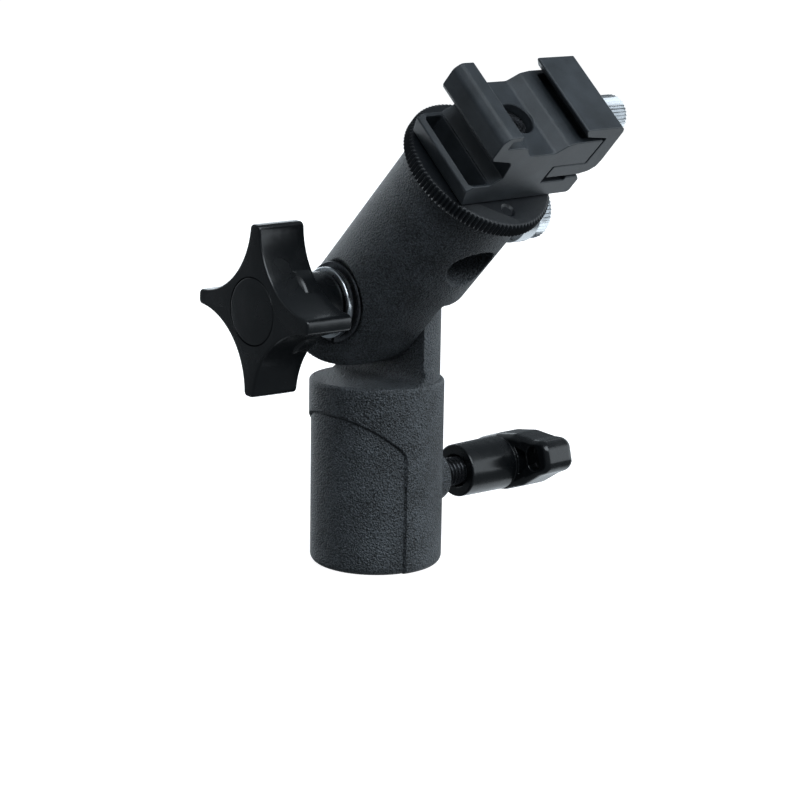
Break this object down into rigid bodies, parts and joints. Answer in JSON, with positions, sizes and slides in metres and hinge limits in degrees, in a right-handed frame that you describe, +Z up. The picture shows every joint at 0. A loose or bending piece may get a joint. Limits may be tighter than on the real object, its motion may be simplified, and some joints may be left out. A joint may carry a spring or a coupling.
{
  "type": "umbrella swivel bracket",
  "caption": "Tilting light-stand bracket: socket with T clamp handle, star knob pivot, cylindrical head with umbrella hole, knurled lock disc and clamping hot shoe.",
  "frame": {"origin": "centre of the stud socket mouth, on the stud axis", "axes": "+Z up along the stud, +X toward the clamp handle, -Y the way the head tilts at rest"},
  "size_m": [0.0761, 0.0654, 0.1035],
  "materials": {
    "casting": "wrinkle powder coat, charcoal black",
    "gloss_plastic": "moulded, gloss black",
    "satin_black": "satin black",
    "black_steel": "black zinc plated",
    "bright_steel": "bright nickel plated",
    "brass": "turned brass",
    "fibre": "vulcanised fibre"
  },
  "bodies": {
    "base": {"socket_body": "casting", "pivot_bolt": "black_steel", "friction_washer": "fibre", "spring_washer": "black_steel"},
    "clamp_tip": {"clamp_pad": "brass"},
    "clamp_lever": {"clamp_screw": "black_steel", "clamp_handle": "gloss_plastic"},
    "knob_washer": {"flat_washer": "bright_steel"},
    "knob": {"star_knob": "gloss_plastic", "knob_insert": "brass", "knob_cap": "gloss_plastic"},
    "head": {"head_body": "casting", "top_stud": "black_steel", "stud_grub_screw": "black_steel"},
    "umbrella_tip": {"umbrella_pad": "brass"},
    "umbrella_knob": {"umbrella_screw": "bright_steel"},
    "disc": {"lock_disc": "satin_black"},
    "shoe": {"shoe_body": "satin_black"},
    "jaw": {"shoe_jaw": "satin_black"},
    "jaw_knob": {"jaw_screw": "bright_steel", "jaw_clip": "black_steel"}
  },
  "joints": [
    {"name": "head_tilt", "type": "hinge", "parent": "base", "child": "head", "pos_m": [0, 0, 0.0546], "axis": [1, 0, 0], "range_deg": [-135, 45]},
    {"name": "clamp_advance", "type": "slide", "parent": "base", "child": "clamp_tip", "axis": [-1, 0, 0], "range_m": [0, 0.002]},
    {"name": "clamp_turn", "type": "hinge", "parent": "clamp_tip", "child": "clamp_lever", "pos_m": [0.02, 0, 0.0152], "axis": [-1, 0, 0], "range_deg": [0, 720]},
    {"name": "knob_advance", "type": "slide", "parent": "base", "child": "knob_washer", "axis": [-1, 0, 0], "range_m": [0, 0.002]},
    {"name": "knob_turn", "type": "hinge", "parent": "knob_washer", "child": "knob", "pos_m": [-0.02, 0, 0.0546], "axis": [-1, 0, 0], "range_deg": [0, 720]},
    {"name": "umbrella_advance", "type": "slide", "parent": "head", "child": "umbrella_tip", "axis": [-1, 0, 0], "range_m": [0, 0.0024]},
    {"name": "umbrella_turn", "type": "hinge", "parent": "umbrella_tip", "child": "umbrella_knob", "pos_m": [0.012, -0.01768, 0.07228], "axis": [-1, 0, 0], "range_deg": [0, 1080]},
    {"name": "disc_turn", "type": "hinge", "parent": "head", "child": "disc", "pos_m": [0, -0.02758, 0.08218], "axis": [0, -0.7071, 0.7071], "continuous": true},
    {"name": "shoe_swivel", "type": "hinge", "parent": "head", "child": "shoe", "pos_m": [0, -0.02899, 0.08359], "axis": [0, -0.7071, 0.7071], "continuous": true},
    {"name": "jaw_slide", "type": "slide", "parent": "shoe", "child": "jaw", "axis": [0.9994, 0.0247, 0.0247], "range_m": [0, 0.002]},
    {"name": "jaw_turn", "type": "hinge", "parent": "jaw", "child": "jaw_knob", "pos_m": [0.02398, -0.03611, 0.09189], "axis": [0.9994, 0.0247, 0.0247], "range_deg": [0, 1440]}
  ],
  "couplings": [
    {"joint": "clamp_turn", "follows": "clamp_advance", "rad_per_m": 6283.2},
    {"joint": "knob_turn", "follows": "knob_advance", "rad_per_m": 6283.2},
    {"joint": "umbrella_turn", "follows": "umbrella_advance", "rad_per_m": 7854},
    {"joint": "jaw_turn", "follows": "jaw_slide", "rad_per_m": 12566}
  ]
}
